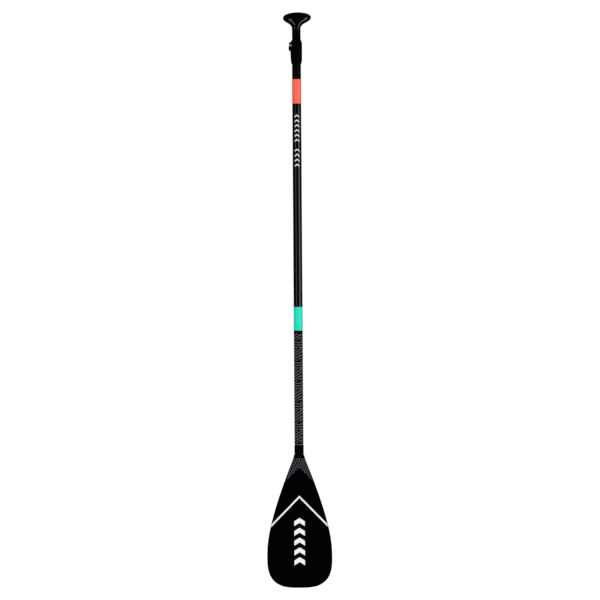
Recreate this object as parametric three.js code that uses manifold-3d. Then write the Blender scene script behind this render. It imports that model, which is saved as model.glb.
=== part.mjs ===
// Adjustable single blade paddle, in millimetres, +Z up.
// Origin: on the shaft's axis at the underside of the clamp collar, where a rack's fork carries it.
// The paddle hangs upright, blade down, with the printed side of the blade towards -Y.
import * as THREE from 'three';
import { LoftGeometry } from 'three/addons/geometries/LoftGeometry.js';
import { mergeVertices } from 'three/addons/utils/BufferGeometryUtils.js';
import Module from 'manifold-3d';

const wasm = await Module();
wasm.setup();

// ---- driving dimensions ----------------------------------------------------------------------

// levels along the shaft's axis
const COLLAR_TOP = 76.5;
const GRIP_TOP = 161.5;
const HANDLE_TRAVEL = 400;      // how far the handle draws out
const HANDLE_HELD = 80;         // tube still inside the mid shaft at full reach
const MID_SHAFT_TOP = 33.7;
const MID_SHAFT_END = -834.7;
const BLADE_NECK_TOP = -1193.5;
const THROAT = -1221.6;         // where the blade starts to flare
const TIP = -1638.5;
const SEAM = 0.3;               // hairline between two pieces that butt together
const GLUE_LINE = 0.05;         // radial gap where one piece is bonded on or in another

// tubes, as radii
const SIDES = 32;
const SHAFT_R = 14;
const SHAFT_BORE = 12.3;
const HANDLE_R = 12;
const HANDLE_BORE = 10.8;
const FERRULE_R = 12.1;
const FERRULE_BORE = 10.5;
const FERRULE_UP = 85;          // ferrule inside the mid shaft
const FERRULE_DOWN = 60;        // ferrule bonded in the lower shaft
const PLUG_LENGTH = 30;

// coloured wraps on the mid shaft
const WRAP_THICKNESS = 0.2;
const CORAL_TOP = -47.7;
const CORAL_END = -124.2;
const TEAL_TOP = -761.2;

// palm grip
const NECK_R = 13.55;
const NECK_END = 77.3;
const FLARE_START = 109.4;
const FLARE_FOOT = 20.8;        // how far up the flare holds the neck's width
const FLARE_BRIM = 17;          // how far down it holds the palm rest's width
const GRIP_HALF_WIDTH = 44.5;
const GRIP_HALF_DEPTH = 19;
const GRIP_WIDEST = 145.1;
const CROWN_RISE = 13.2;
const CROWN_SHARE = 0.3;        // share of the half width that the crown's top is flat over
const CROWN_FLAT = 4;
const BEND_LEVEL = 120;         // where the palm rest starts to lean
const BEND_SOFT = 12;           // how gently it does
const GRIP_SQUARENESS = 0.92;   // power of the squared oval, 1 for an ellipse
const GRIP_TURN = THREE.MathUtils.degToRad(12);
const GRIP_LEAN = 0.25;         // how far the palm rest leans forward, per mm of height
const GRIP_SKEW = 0.11;         // how far it runs to the right, per mm of height
const GRIP_SOCKET = 42;         // depth of tube above the neck's lower end

// clamp collar
const COLLAR_R = 17.9;
const COLLAR_FOOT_R = 15.2;
const COLLAR_TAPER = 10.9;      // height of the tapered foot
const COLLAR_MOUTH_R = 14;
const SHOULDER_DROP = 14;       // the rounded shoulder starts this far below the top
const COLLAR_SLIT = 2.4;
const SLIT_START = MID_SHAFT_TOP + 3;
const LUG_FRONT = -10.5;
const LUG_BACK = 8.6;
// side view of the lugs as [x, z]: a sloped shoulder, the bolt's boss, a rounded stop and a web
const LUG_OUTLINE = [
  [-8, 75], [-13.6, 74.6], [-16.6, 70.6], [-21.6, 66.4], [-22.9, 63.6], [-22.7, 58], [-24.2, 52.6],
  [-24.4, 47.6], [-23.1, 43.4], [-18.8, 39.6], [-18.7, 30], [-17.9, 15], [-15.6, 3], [-8, 3],
];

// clamp's bolt, pin and saddle
const CLEAR = 0.3;              // round a bolt, a washer or a spindle in its hole
const BOLT_X = -18;
const BOLT_Z = 58.4;
const BOLT_R = 2;
const BOLT_HEAD_R = 3.5;
const BOLT_HEAD_HEIGHT = 4.4;
const BOLT_PAST_PIN = 3.4;      // how far the bolt's end stands past the pin's middle
const HEX_R = 1.9;
const HEX_DEPTH = 2.4;
const WASHER_R = 4.3;
const WASHER_HEIGHT = 0.8;
const COUNTERBORE_FLOOR = -7;
const PIN_Y = 15.5;
const PIN_R = 3.2;
const SADDLE_X = [-21.4, -15.8];
const SADDLE_Y = [LUG_BACK + 0.2, LUG_BACK + 1.1];
const SADDLE_Z = [42, 67];

// clamp's lever
const CAM_R = 5.2;
const CAM_LIFT = 0.3;           // offset of the cam's middle from the pin's
const LEVER_INNER_R = 18.4;
const LEVER_OUTER_R = 22.6;
const LEVER_LOW = 41;
const LEVER_HIGH = 67.6;
const LEVER_SHOULDER = 3;       // the arm is this much shorter than the ears, above and below
const LEVER_FROM = THREE.MathUtils.degToRad(140);
const LEVER_TO = THREE.MathUtils.degToRad(50);
const FINGER_R = 2.6;
const FINGER_OUT = 0.6;
const BOLT_WAY = 3.6;           // half height of the gap between the ears

// snap button
const BUTTON_Z = -818;
const BUTTON_R = 4.1;
const BUTTON_HOLE_R = 4.4;
const BUTTON_OUT = 16.6;        // the button's crown, from the shaft's axis
const BUTTON_FLANGE_R = 5.4;
const BUTTON_FLANGE = [7.8, 8.8];
const SPRING_WIDTH = 9;
const SPRING_STRIP = 0.6;

// blade
const BLADE_RAKE = Math.tan(THREE.MathUtils.degToRad(10));
const BEND_LENGTH = 30;
const BLADE_NECK_R = 14.6;
const SPIGOT_R = 12.1;
const SPIGOT_LENGTH = 60;
const SPIGOT_BORE = 9.5;
const SPIGOT_FLOOR = 5;         // solid below the spigot's bore
const TONGUE_LENGTH = 150;
const TONGUE_TOP = [8, 8];      // half width and half depth at the throat
const TONGUE_END = [5, 2];
const TONGUE_SQUARENESS = 0.6;
const TONGUE_POCKET = 0.4;      // room round the tongue in the core
const RAIL_WIDTH = 6;
const SKIN = 1;
const CORE_GAP = 0.9;
const EDGE_HALF = 2.6;          // half thickness at the blade's edge
const CAMBER = 1.4;
const RIDGE = 9;                // the spine's height above the face, near the throat
const RIDGE_HALF_WIDTH = 24;
const RIDGE_LENGTH = 230;
const THROAT_BLEND = 60;
const BLADE_COLUMNS = 14;
const COLUMN_CROWDING = 1.4;    // over 1, so that the facets are finer over the ridge

// half outline of the blade, as (half width, distance below the throat)
const FLANK = new THREE.LineCurve(new THREE.Vector2(14.9, 0), new THREE.Vector2(20.4, 18));
const SHOULDER = new THREE.CubicBezierCurve(
  new THREE.Vector2(20.4, 18), new THREE.Vector2(103.4, 225.5),
  new THREE.Vector2(101.8, 283), new THREE.Vector2(101.8, 328.2));
const TOE = new THREE.CubicBezierCurve(
  new THREE.Vector2(101.8, 328.2), new THREE.Vector2(101.8, 388.2),
  new THREE.Vector2(76.9, 401.2), new THREE.Vector2(59.1, 409.8));
const TIP_ROUND = new THREE.CubicBezierCurve(
  new THREE.Vector2(59.1, 409.8), new THREE.Vector2(50.1, 414.2),
  new THREE.Vector2(28, THROAT - TIP), new THREE.Vector2(14, THROAT - TIP));

// ---- solids ----------------------------------------------------------------------------------

// A closed three.js geometry as a solid, whichever way its faces were wound.
function solid(geometry) {
  const bare = new THREE.BufferGeometry();
  bare.setAttribute('position', geometry.getAttribute('position').clone());
  if (geometry.index) bare.setIndex(geometry.index.clone());
  const merged = mergeVertices(bare, 1e-4);
  const build = (triVerts) => new wasm.Manifold(new wasm.Mesh({
    numProp: 3,
    vertProperties: new Float32Array(merged.attributes.position.array),
    triVerts: new Uint32Array(triVerts),
  }));
  const faces = Array.from(merged.index.array);
  const made = build(faces);
  return made.volume() > 0 ? made : build(faces.reverse());
}

// A solid as a three.js geometry.
function geometryOf(body) {
  const mesh = body.getMesh();
  const geometry = new THREE.BufferGeometry();
  geometry.setAttribute('position', new THREE.BufferAttribute(mesh.vertProperties, 3));
  geometry.setIndex(new THREE.BufferAttribute(mesh.triVerts, 1));
  geometry.computeVertexNormals();
  return geometry;
}

// A closed profile of [radius, height] points turned about the Z axis.
function turned(profile, sides = SIDES) {
  const points = [...profile, profile[0]].map(([r, z]) => new THREE.Vector2(r, z));
  return solid(new THREE.LatheGeometry(points, sides).rotateX(Math.PI / 2));
}

function tube(outer, inner, low, high, sides = SIDES) {
  return turned([[inner, low], [outer, low], [outer, high], [inner, high]], sides);
}

function rod(radius, low, high, sides = SIDES) {
  const height = high - low;
  const geometry = new THREE.CylinderGeometry(radius, radius, height, sides).rotateX(Math.PI / 2);
  return solid(geometry.translate(0, 0, (low + high) / 2));
}

// A round bar along Y at (x, z).
function crossRod(radius, x, z, front, back, sides = 24) {
  const geometry = new THREE.CylinderGeometry(radius, radius, back - front, sides);
  return solid(geometry.translate(x, (front + back) / 2, z));
}

function block(x, y, z) {
  const geometry = new THREE.BoxGeometry(x[1] - x[0], y[1] - y[0], z[1] - z[0]);
  return solid(geometry.translate((x[0] + x[1]) / 2, (y[0] + y[1]) / 2, (z[0] + z[1]) / 2));
}

// A shape drawn in the XY plane and raised between two levels.
function raised(shape, low, high, curveSegments = 16) {
  const options = { depth: high - low, bevelEnabled: false, curveSegments };
  return solid(new THREE.ExtrudeGeometry(shape, options).translate(0, 0, low));
}

// A skin over sections of one point count, with flat ends. Each section has to run
// counterclockwise as seen from the loft's far end, so it is turned round where it doesn't.
function loft(sections) {
  const middle = (section) => section.reduce((sum, point) => sum.add(point), new THREE.Vector3())
    .divideScalar(section.length);
  const [start, next] = sections.map(middle);
  const turn = new THREE.Vector3();
  sections[0].forEach((point, i, all) => {
    const following = all[(i + 1) % all.length].clone().sub(start);
    turn.add(point.clone().sub(start).cross(following));
  });
  const clockwise = turn.dot(next.sub(start)) < 0;
  const ordered = clockwise ? sections.map((section) => [...section].reverse()) : sections;
  return solid(new LoftGeometry(ordered, { capStart: true, capEnd: true }));
}

// An ellipse with slightly squared shoulders, at one level.
function oval(halfWidth, halfDepth, z, seat = (x, y) => [x, y], power = 1) {
  const points = [];
  for (let i = 0; i < SIDES; i++) {
    const angle = (i / SIDES) * 2 * Math.PI;
    const soften = (value) => Math.sign(value) * Math.abs(value) ** power;
    const [x, y] = seat(halfWidth * soften(Math.sin(angle)), halfDepth * soften(Math.cos(angle)));
    points.push(new THREE.Vector3(x, y, z));
  }
  return points;
}

// ---- handle section --------------------------------------------------------------------------

const HANDLE_END = -(HANDLE_TRAVEL + HANDLE_HELD);
const SOCKET_TOP = NECK_END + GRIP_SOCKET;

// The palm rest is a bar across the shaft that leans forward and is turned about the tube.
function gripSection(halfWidth, halfDepth, z) {
  const above = Math.hypot(Math.max(0, z - BEND_LEVEL), BEND_SOFT) - BEND_SOFT;
  const lean = -GRIP_LEAN * above;
  const seat = (x, y) => {
    const turnedX = x * Math.cos(GRIP_TURN) - (y + lean) * Math.sin(GRIP_TURN);
    const turnedY = x * Math.sin(GRIP_TURN) + (y + lean) * Math.cos(GRIP_TURN);
    return [turnedX + GRIP_SKEW * above, turnedY];
  };
  return oval(halfWidth, halfDepth, z, seat, GRIP_SQUARENESS);
}

function palmGrip() {
  const flare = new THREE.CubicBezierCurve(
    new THREE.Vector2(NECK_R, FLARE_START),
    new THREE.Vector2(NECK_R, FLARE_START + FLARE_FOOT),
    new THREE.Vector2(GRIP_HALF_WIDTH, GRIP_WIDEST - FLARE_BRIM),
    new THREE.Vector2(GRIP_HALF_WIDTH, GRIP_WIDEST));
  const crown = new THREE.CubicBezierCurve(
    new THREE.Vector2(GRIP_HALF_WIDTH, GRIP_WIDEST),
    new THREE.Vector2(GRIP_HALF_WIDTH, GRIP_WIDEST + CROWN_RISE),
    new THREE.Vector2(GRIP_HALF_WIDTH * CROWN_SHARE, GRIP_TOP),
    new THREE.Vector2(CROWN_FLAT, GRIP_TOP));
  const sections = [gripSection(NECK_R, NECK_R, NECK_END)];
  flare.getPoints(12).forEach(({ x, y }) => {
    const grown = (x - NECK_R) / (GRIP_HALF_WIDTH - NECK_R);
    sections.push(gripSection(x, NECK_R + (GRIP_HALF_DEPTH - NECK_R) * grown, y));
  });
  crown.getPoints(9).slice(1).forEach(({ x, y }) => {
    sections.push(gripSection(x, (GRIP_HALF_DEPTH * x) / GRIP_HALF_WIDTH, y));
  });
  const socket = rod(HANDLE_R + GLUE_LINE, NECK_END - 1, SOCKET_TOP);
  return loft(sections).subtract(socket);
}

function handleTube() {
  return tube(HANDLE_R, HANDLE_BORE, HANDLE_END, SOCKET_TOP - SEAM);
}

// The plug is bonded in the tube; its spindle carries the guide bush and its flange keeps it on.
const BUSH_LENGTH = 18;
const SPINDLE_R = 9.5;
const FLANGE = 2.5;
const SLIDE_FIT = 0.1;

function handleTubePlug() {
  const spindleEnd = HANDLE_END - BUSH_LENGTH - 2 * SEAM;
  return turned([
    [0, HANDLE_END + PLUG_LENGTH],
    [HANDLE_BORE - GLUE_LINE, HANDLE_END + PLUG_LENGTH],
    [HANDLE_BORE - GLUE_LINE, HANDLE_END],
    [SPINDLE_R, HANDLE_END],
    [SPINDLE_R, spindleEnd],
    [HANDLE_R - SEAM, spindleEnd],
    [HANDLE_R - SEAM, spindleEnd - FLANGE],
    [0, spindleEnd - FLANGE],
  ]);
}

function guideBush() {
  const top = HANDLE_END - SEAM;
  return tube(SHAFT_BORE - SLIDE_FIT, SPINDLE_R + CLEAR, top - BUSH_LENGTH, top);
}

// ---- clamp -----------------------------------------------------------------------------------

function clampCollar() {
  const shoulder = new THREE.QuadraticBezierCurve(
    new THREE.Vector2(COLLAR_R, COLLAR_TOP - SHOULDER_DROP),
    new THREE.Vector2(COLLAR_R - 0.7, COLLAR_TOP - 6),
    new THREE.Vector2(COLLAR_MOUTH_R, COLLAR_TOP)).getPoints(5).map(({ x, y }) => [x, y]);
  const body = turned([
    [0, 0], [COLLAR_FOOT_R, 0], [COLLAR_R - 0.2, COLLAR_TAPER], ...shoulder, [0, COLLAR_TOP],
  ]);
  // drawn in XZ, raised along the drawing's third axis, then stood up so that the third axis is -Y
  const outline = new THREE.Shape(LUG_OUTLINE.map(([x, z]) => new THREE.Vector2(x, z)));
  const lugs = raised(outline, -LUG_BACK, -LUG_FRONT).rotate([90, 0, 0]);
  const half = COLLAR_SLIT / 2;
  return body.add(lugs)
    .subtract(rod(SHAFT_R + GLUE_LINE, -1, MID_SHAFT_TOP + SEAM))
    .subtract(rod(SHAFT_BORE + GLUE_LINE, 0, COLLAR_TOP + 1))
    .subtract(block([-30, -8], [-half, half], [SLIT_START, COLLAR_TOP + 1]))
    .subtract(crossRod(BOLT_R + CLEAR, BOLT_X, BOLT_Z, -20, 20))
    .subtract(crossRod(WASHER_R + CLEAR, BOLT_X, BOLT_Z, -20, COUNTERBORE_FLOOR));
}

// The bolt's head, its washer and the counterbore's floor are a hairline apart.
const HAIRLINE = 0.1;

function boltWasher() {
  const back = COUNTERBORE_FLOOR - HAIRLINE;
  return crossRod(WASHER_R, BOLT_X, BOLT_Z, back - WASHER_HEIGHT, back)
    .subtract(crossRod(BOLT_R + CLEAR, BOLT_X, BOLT_Z, -20, 0));
}

function clampBolt() {
  const seat = COUNTERBORE_FLOOR - WASHER_HEIGHT - 2 * HAIRLINE;
  const front = seat - BOLT_HEAD_HEIGHT;
  const shank = crossRod(BOLT_R, BOLT_X, BOLT_Z, seat - 1, PIN_Y + BOLT_PAST_PIN);
  const socket = crossRod(HEX_R, BOLT_X, BOLT_Z, front - 1, front + HEX_DEPTH, 6);
  return crossRod(BOLT_HEAD_R, BOLT_X, BOLT_Z, front, seat).add(shank).subtract(socket);
}

function camSaddle() {
  const hole = crossRod(BOLT_R + CLEAR, BOLT_X, BOLT_Z, 0, 20);
  return block(SADDLE_X, SADDLE_Y, SADDLE_Z).subtract(hole);
}

function leverPin() {
  const pin = rod(PIN_R, LEVER_LOW + 0.6, LEVER_HIGH - 0.6, 24).translate([BOLT_X, PIN_Y, 0]);
  return pin.subtract(crossRod(BOLT_R + 0.15, BOLT_X, BOLT_Z, 0, 30));
}

// The lever's cam has two ears on the pin, one each side of the bolt, and its arm follows the
// collar round the back to a rounded finger end.
function clampLever() {
  const low = LEVER_LOW + LEVER_SHOULDER;
  const high = LEVER_HIGH - LEVER_SHOULDER;
  const band = new THREE.Shape();
  band.absarc(0, 0, LEVER_OUTER_R, LEVER_FROM, LEVER_TO, true);
  band.absarc(0, 0, LEVER_INNER_R, LEVER_TO, LEVER_FROM, false);
  const middle = (LEVER_INNER_R + LEVER_OUTER_R) / 2;
  const fingerEnd = rod(FINGER_R, low, high, 16)
    .translate([middle * Math.cos(LEVER_TO), middle * Math.sin(LEVER_TO) + FINGER_OUT, 0]);
  const ears = rod(CAM_R, LEVER_LOW, LEVER_HIGH, 24).translate([BOLT_X, PIN_Y - CAM_LIFT, 0]);
  const boltWay = rod(CAM_R + 1.2, BOLT_Z - BOLT_WAY, BOLT_Z + BOLT_WAY, 24)
    .translate([BOLT_X, PIN_Y, 0]);
  const pinWay = rod(PIN_R + 0.2, LEVER_LOW - 1, LEVER_HIGH + 1, 24).translate([BOLT_X, PIN_Y, 0]);
  return raised(band, low, high, 10)
    .add(fingerEnd).add(ears).subtract(boltWay).subtract(pinWay);
}

// ---- mid shaft -------------------------------------------------------------------------------

function buttonWay(radius = BUTTON_HOLE_R) {
  return crossRod(radius, 0, BUTTON_Z, -20, 0);
}

function midShaft() {
  return tube(SHAFT_R, SHAFT_BORE, MID_SHAFT_END, MID_SHAFT_TOP).subtract(buttonWay());
}

function wrap(low, high) {
  const inner = SHAFT_R + GLUE_LINE;
  return tube(inner + WRAP_THICKNESS, inner, low, high);
}

function foamPlug(bore, high) {
  return rod(bore - GLUE_LINE, high - PLUG_LENGTH, high);
}

// ---- blade section's tubes and button -----------------------------------------------------------

const LOWER_SHAFT_TOP = MID_SHAFT_END - SEAM;

function ferrule() {
  const low = LOWER_SHAFT_TOP - FERRULE_DOWN;
  return tube(FERRULE_R, FERRULE_BORE, low, LOWER_SHAFT_TOP + FERRULE_UP).subtract(buttonWay());
}

function pushButton() {
  const [back, front] = BUTTON_FLANGE;
  const profile = [
    [0, back], [BUTTON_FLANGE_R, back], [BUTTON_FLANGE_R, front], [BUTTON_R, front],
    [BUTTON_R, BUTTON_OUT - 1.1], [BUTTON_R * 0.75, BUTTON_OUT - 0.3],
    [BUTTON_R * 0.35, BUTTON_OUT], [0, BUTTON_OUT],
  ];
  // turned about Z, then laid over so that the crown faces -Y
  return turned(profile, 24).rotate([90, 0, 0]).translate([0, 0, BUTTON_Z]);
}

// A strip folded into a narrow V inside the ferrule: one leg carries the button, the other bears
// on the ferrule's back wall. Drawn with X for Y and Y for Z.
function buttonSpring() {
  const top = BUTTON_Z + 7;
  const foldY = 0.6;
  const foldZ = BUTTON_Z - 42;
  const outer = 3.3;
  const inner = outer - SPRING_STRIP;
  const frontLeg = -7.5;
  const backLeg = 9;
  const shape = new THREE.Shape();
  shape.moveTo(frontLeg, top);
  shape.lineTo(foldY - outer, foldZ);
  shape.absarc(foldY, foldZ, outer, Math.PI, 2 * Math.PI, false);
  shape.lineTo(backLeg, top);
  shape.lineTo(backLeg - SPRING_STRIP, top);
  shape.lineTo(foldY + inner, foldZ);
  shape.absarc(foldY, foldZ, inner, 2 * Math.PI, Math.PI, true);
  shape.lineTo(frontLeg + SPRING_STRIP, top);
  return raised(shape, -SPRING_WIDTH / 2, SPRING_WIDTH / 2, 5).rotate([90, 0, 90]);
}

function lowerShaft() {
  return tube(SHAFT_R, SHAFT_BORE, BLADE_NECK_TOP, LOWER_SHAFT_TOP);
}

// ---- blade -----------------------------------------------------------------------------------

// The blade's centre plane: in line with the shaft at the neck, then raked forward.
function centreY(z) {
  const below = Math.max(0, BLADE_NECK_TOP - z);
  return -BLADE_RAKE * (Math.hypot(below, BEND_LENGTH) - BEND_LENGTH);
}

const outline = [
  ...FLANK.getPoints(3),
  ...SHOULDER.getSpacedPoints(14).slice(1),
  ...TOE.getSpacedPoints(8).slice(1),
  ...TIP_ROUND.getSpacedPoints(6).slice(1),
];

// Half the blade's width at a distance below the throat.
function halfWidthAt(drop) {
  const last = outline.length - 1;
  const next = Math.min(last, Math.max(1, outline.findIndex((point) => point.y >= drop)));
  const [a, b] = [outline[next - 1], outline[next]];
  return THREE.MathUtils.lerp(a.x, b.x, THREE.MathUtils.clamp((drop - a.y) / (b.y - a.y), 0, 1));
}

// Half the blade's thickness: round at the throat, then a thin plate with a ridge that fades out.
function halfThickness(x, drop) {
  const across = Math.min(1, Math.abs(x) / halfWidthAt(drop));
  const dome = 1 - across * across;
  const round = Math.max(0.8, BLADE_NECK_R * Math.sqrt(dome));
  const fade = Math.max(0, 1 - drop / RIDGE_LENGTH) ** 2;
  const bump = Math.max(0, 1 - (x / RIDGE_HALF_WIDTH) ** 2) ** 2;
  const plate = EDGE_HALF + CAMBER * dome + RIDGE * fade * bump;
  return THREE.MathUtils.lerp(round, plate, THREE.MathUtils.smoothstep(drop, 0, THROAT_BLEND));
}

// The outline moved inwards by a margin, point for point.
function inset(margin) {
  return outline.map((point, i) => {
    const before = outline[Math.max(0, i - 1)];
    const after = outline[Math.min(outline.length - 1, i + 1)];
    const along = after.clone().sub(before).normalize();
    let normal = new THREE.Vector2(along.y, -along.x);
    if (i === 0) normal = new THREE.Vector2(1, 0);
    if (i === outline.length - 1) {
      // the corner of the tip's flat end: half way between the curve's normal and straight down
      normal.add(new THREE.Vector2(0, 1)).normalize();
      normal.divideScalar(normal.y);
    }
    return point.clone().addScaledVector(normal, -margin);
  });
}

// A sheet of the blade: front and back give its two faces as a share of the local half thickness.
function sheet(front, back) {
  const rows = inset(RAIL_WIDTH + SEAM);
  return loft(rows.map(({ x: halfWidth, y: drop }) => {
    const z = THROAT - drop;
    const columns = [];
    for (let i = 0; i <= BLADE_COLUMNS; i++) {
      const across = (2 * i) / BLADE_COLUMNS - 1;
      columns.push(halfWidth * Math.sign(across) * Math.abs(across) ** COLUMN_CROWDING);
    }
    const face = (depth) => (x) => new THREE.Vector3(x, centreY(z) + depth(halfThickness(x, drop)), z);
    return [...columns.map(face(front)), ...columns.reverse().map(face(back))];
  }));
}

function bladeFrontSkin() {
  return sheet((half) => -half, (half) => SKIN - half);
}

function bladeBackSkin() {
  return sheet((half) => half - SKIN, (half) => half);
}

// The tongue tapers from a square bar at the throat to a thin strip, grown all round for its pocket.
function tongue(grow) {
  const steps = 5;
  const sections = [];
  for (let step = 0; step <= steps; step++) {
    const t = step / steps;
    const reach = step === steps ? grow : 0;
    const z = THROAT - SEAM - t * TONGUE_LENGTH - reach;
    const seat = (x, y) => [x, y + centreY(z)];
    const [halfWidth, halfDepth] = TONGUE_TOP.map((top, i) => top + (TONGUE_END[i] - top) * t + grow);
    sections.push(oval(halfWidth, halfDepth, z, seat, TONGUE_SQUARENESS));
  }
  return sections;
}

function bladeCore() {
  const inside = (half) => half - SKIN - CORE_GAP;
  const pocket = tongue(TONGUE_POCKET);
  const mouth = pocket[0].map((point) => point.clone().setZ(THROAT + 1));
  return sheet((half) => -inside(half), inside).subtract(loft([mouth, ...pocket]));
}

function bladeNeck() {
  const seat = BLADE_NECK_TOP - SEAM;
  const foot = THROAT + SEAM;
  const ring = (radius, z) => oval(radius, radius, z, (x, y) => [x, y + centreY(z)]);
  const sections = [ring(SPIGOT_R, seat + SPIGOT_LENGTH), ring(SPIGOT_R, seat)];
  const steps = 5;
  for (let i = 0; i <= steps; i++) {
    sections.push(ring(BLADE_NECK_R, THREE.MathUtils.lerp(seat, foot, i / steps)));
  }
  const bar = tongue(0);
  sections.push(bar[0].map((point) => point.clone().setZ(foot)), ...bar.slice(1));
  return loft(sections)
    .subtract(rod(SPIGOT_BORE, seat + SPIGOT_FLOOR, seat + SPIGOT_LENGTH + 1));
}

// The rail runs down one side of the outline, across the tip and up the other side.
function bladeEdgeRail() {
  const inner = inset(RAIL_WIDTH);
  const section = (side) => (edge, i) => {
    const corners = [];
    for (const [point, face] of [[edge, -1], [edge, 1], [inner[i], 1], [inner[i], -1]]) {
      const z = THROAT - point.y;
      corners.push(new THREE.Vector3(
        side * point.x, centreY(z) + face * halfThickness(point.x, point.y), z));
    }
    return corners;
  };
  const left = outline.map(section(-1));
  const right = outline.map(section(1)).reverse();
  return loft([...left, ...right]);
}

// ---- the assembly ------------------------------------------------------------------------------

const paddle = new THREE.Group();
paddle.name = 'paddle';

const FINISHES = {
  moulded: { color: 0x141415, roughness: 0.42, metalness: 0 },
  tube: { color: 0x0d0d0e, roughness: 0.18, metalness: 0 },
  bladeFace: { color: 0x131315, roughness: 0.55, metalness: 0 },
  coral: { color: 0xf96a51, roughness: 0.3, metalness: 0 },
  teal: { color: 0x16dfc3, roughness: 0.3, metalness: 0 },
  steel: { color: 0xc8c9cb, roughness: 0.25, metalness: 1 },
  nylon: { color: 0x3f3f42, roughness: 0.6, metalness: 0 },
  foam: { color: 0x89898b, roughness: 0.95, metalness: 0 },
};

function add(name, body, finish) {
  const mesh = new THREE.Mesh(geometryOf(body), new THREE.MeshStandardMaterial(FINISHES[finish]));
  mesh.name = name;
  paddle.add(mesh);
}

add('palm_grip', palmGrip(), 'moulded');
add('handle_tube', handleTube(), 'tube');
add('handle_tube_plug', handleTubePlug(), 'moulded');
add('guide_bush', guideBush(), 'nylon');

add('clamp_collar', clampCollar(), 'moulded');
add('clamp_lever', clampLever(), 'moulded');
add('lever_pin', leverPin(), 'steel');
add('clamp_bolt', clampBolt(), 'steel');
add('bolt_washer', boltWasher(), 'steel');
add('cam_saddle', camSaddle(), 'steel');

add('mid_shaft', midShaft(), 'tube');
add('coral_band', wrap(CORAL_END, CORAL_TOP), 'coral');
add('teal_band', wrap(MID_SHAFT_END, TEAL_TOP).subtract(buttonWay()), 'teal');
add('mid_shaft_plug', foamPlug(SHAFT_BORE, LOWER_SHAFT_TOP + FERRULE_UP + 45), 'foam');

add('ferrule', ferrule(), 'nylon');
add('push_button', pushButton(), 'teal');
add('button_spring', buttonSpring(), 'steel');
add('lower_shaft', lowerShaft(), 'tube');
add('lower_shaft_plug', foamPlug(SHAFT_BORE, LOWER_SHAFT_TOP - FERRULE_DOWN - 8), 'foam');

add('blade_neck', bladeNeck(), 'moulded');
add('blade_core', bladeCore(), 'foam');
add('blade_front_skin', bladeFrontSkin(), 'bladeFace');
add('blade_back_skin', bladeBackSkin(), 'bladeFace');
add('blade_edge_rail', bladeEdgeRail(), 'moulded');

export default paddle;
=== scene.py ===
"""The looks of the adjustable single blade paddle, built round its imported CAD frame.

Shapes are worked out in millimetres, as in the part, and become metres when a piece is made.
"""

import math

import bmesh
import bpy
import numpy as np
from mathutils import Matrix, Vector


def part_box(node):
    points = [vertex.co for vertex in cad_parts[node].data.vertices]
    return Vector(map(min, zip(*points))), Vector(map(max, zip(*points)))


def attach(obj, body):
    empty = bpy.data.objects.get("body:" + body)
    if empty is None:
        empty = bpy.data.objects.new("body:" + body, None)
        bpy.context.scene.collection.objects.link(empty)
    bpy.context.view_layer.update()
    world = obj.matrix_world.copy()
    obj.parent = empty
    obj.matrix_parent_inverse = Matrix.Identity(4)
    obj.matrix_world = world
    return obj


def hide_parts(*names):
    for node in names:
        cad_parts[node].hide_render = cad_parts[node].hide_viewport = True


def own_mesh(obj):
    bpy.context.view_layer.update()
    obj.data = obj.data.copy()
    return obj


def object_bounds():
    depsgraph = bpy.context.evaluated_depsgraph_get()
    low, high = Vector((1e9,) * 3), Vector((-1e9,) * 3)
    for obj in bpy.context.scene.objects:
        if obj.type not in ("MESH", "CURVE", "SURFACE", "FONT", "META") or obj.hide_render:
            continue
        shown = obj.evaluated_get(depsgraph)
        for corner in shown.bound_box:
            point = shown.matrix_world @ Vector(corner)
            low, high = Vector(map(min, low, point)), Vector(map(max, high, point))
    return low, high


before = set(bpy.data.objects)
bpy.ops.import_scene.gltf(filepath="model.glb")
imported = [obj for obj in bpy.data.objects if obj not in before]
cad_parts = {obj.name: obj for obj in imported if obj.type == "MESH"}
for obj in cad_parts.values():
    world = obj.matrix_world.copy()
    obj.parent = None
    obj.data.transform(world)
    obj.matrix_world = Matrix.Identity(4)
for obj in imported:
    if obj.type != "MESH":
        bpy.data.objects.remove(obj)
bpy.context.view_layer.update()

MM = 0.001
SIDES = 128
ARC_STEPS = 4
SHARP_ANGLE = math.radians(32)
GLUE_LINE = 0.05
SEAM = 0.3


def levels(node):
    """A CAD node's lowest and highest corner, in millimetres."""
    low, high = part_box(node)
    return low / MM, high / MM


def extent(node, axis):
    """A CAD node's lowest and highest value along an axis, in millimetres."""
    return [corner[axis] for corner in levels(node)]


# ---- sizes that follow the CAD frame -------------------------------------

COLLAR_TOP = levels("clamp_collar")[1].z
NECK_END, GRIP_TOP = extent("palm_grip", 2)
HANDLE_LOW, HANDLE_HIGH = extent("handle_tube", 2)
HANDLE_R = levels("handle_tube")[1].x
MID_LOW, MID_HIGH = extent("mid_shaft", 2)
SHAFT_R = levels("mid_shaft")[1].x
LOWER_LOW, LOWER_HIGH = extent("lower_shaft", 2)
FERRULE_LOW, FERRULE_HIGH = extent("ferrule", 2)
FERRULE_R = levels("ferrule")[1].x
CORAL = extent("coral_band", 2)
TEAL = extent("teal_band", 2)
BUTTON_Z = sum(extent("push_button", 2)) / 2
BUTTON_OUT = -levels("push_button")[0].y
BOLT_LOW, BOLT_HIGH = levels("clamp_bolt")
BOLT_X = (BOLT_LOW.x + BOLT_HIGH.x) / 2
BOLT_Z = (BOLT_LOW.z + BOLT_HIGH.z) / 2
BOLT_HEAD_R = (BOLT_HIGH.x - BOLT_LOW.x) / 2
BOLT_R = 2
PIN_LOW, PIN_HIGH = levels("lever_pin")
PIN_Y = (PIN_LOW.y + PIN_HIGH.y) / 2
PIN_R = (PIN_HIGH.x - PIN_LOW.x) / 2
CAM_R = 5.2
CAM_LIFT = 0.3
CLEAR = 0.3
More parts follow.
